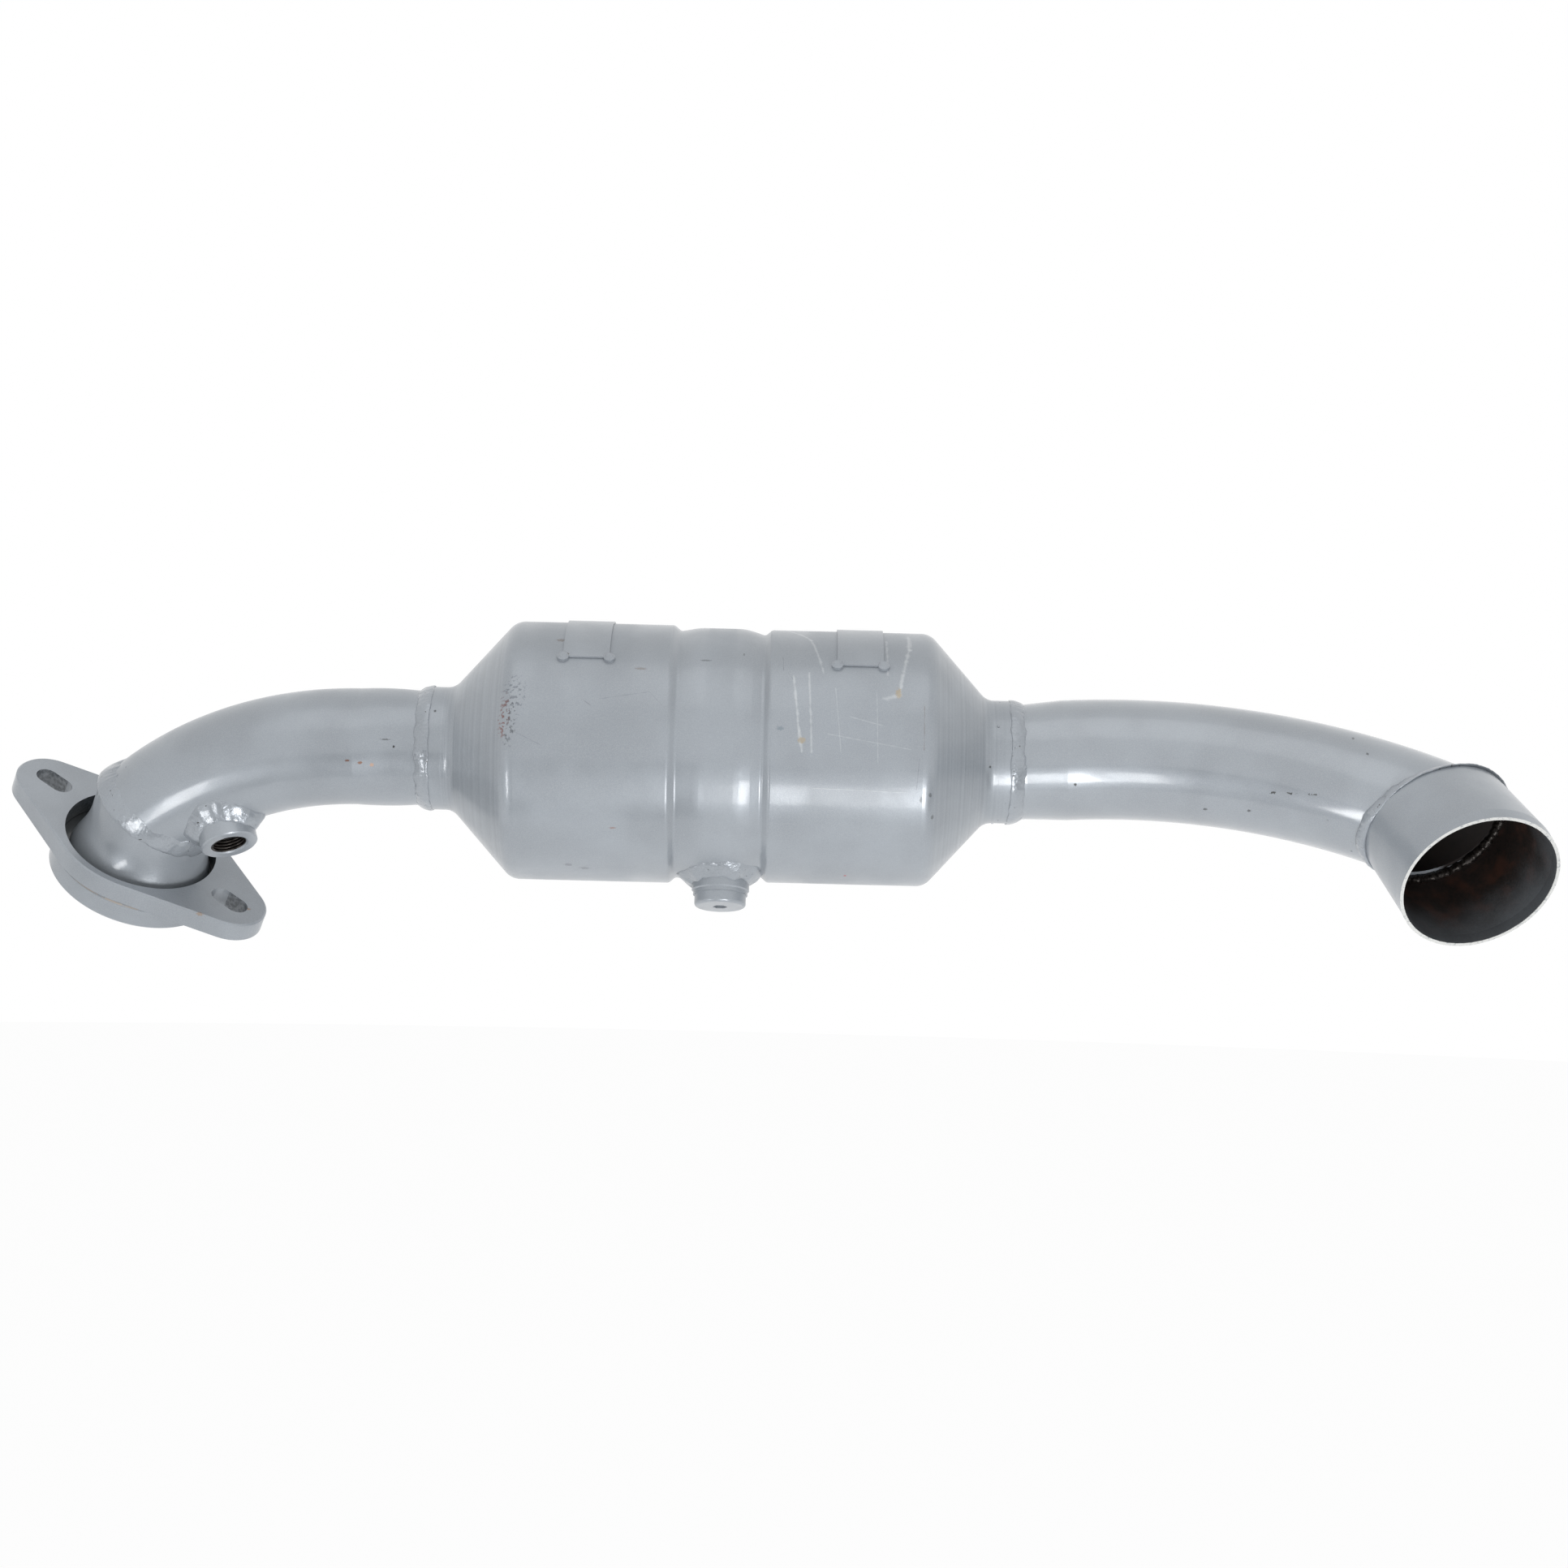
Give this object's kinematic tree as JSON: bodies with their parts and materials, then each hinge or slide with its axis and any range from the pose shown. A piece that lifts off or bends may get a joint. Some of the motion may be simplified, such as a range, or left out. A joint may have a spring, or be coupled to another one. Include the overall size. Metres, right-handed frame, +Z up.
{
  "type": "catalytic converter",
  "caption": "Round steel catalytic converter with a loose rhombus inlet flange, a bent inlet neck, sensor bosses and a long bent outlet pipe with an oblique cuff.",
  "frame": {"origin": "centre of the inlet's sealing face", "axes": "+X along the body's axis towards the outlet, +Z up with the plugged boss underneath"},
  "size_m": [0.7274, 0.187, 0.1566],
  "materials": {
    "paint": "satin",
    "ceramic": "matte",
    "mat": "matte"
  },
  "bodies": {
    "converter": {"seat_ring": "paint", "ring_weld": "paint", "inlet_neck": "paint", "neck_weld": "paint", "inlet_pipe": "paint", "inlet_bung": "paint", "inlet_bung_weld": "paint", "inlet_body_weld": "paint", "converter_shell": "paint", "front_brick": "ceramic", "front_mat": "mat", "rear_brick": "ceramic", "rear_mat": "mat", "band_bung": "paint", "band_bung_weld": "paint", "plug": "paint", "front_tab": "paint", "rear_tab": "paint", "tab_tacks": "paint", "outlet_body_weld": "paint", "outlet_pipe": "paint", "cuff_weld": "paint", "outlet_cuff": "paint"},
    "flange": {"inlet_flange": "paint"}
  },
  "joints": [
    {"name": "flange_swivel", "type": "hinge", "parent": "converter", "child": "flange", "pos_m": [0.00353, -0.0081, 0.01307], "axis": [0.3453, -0.4945, 0.7976], "continuous": true}
  ]
}
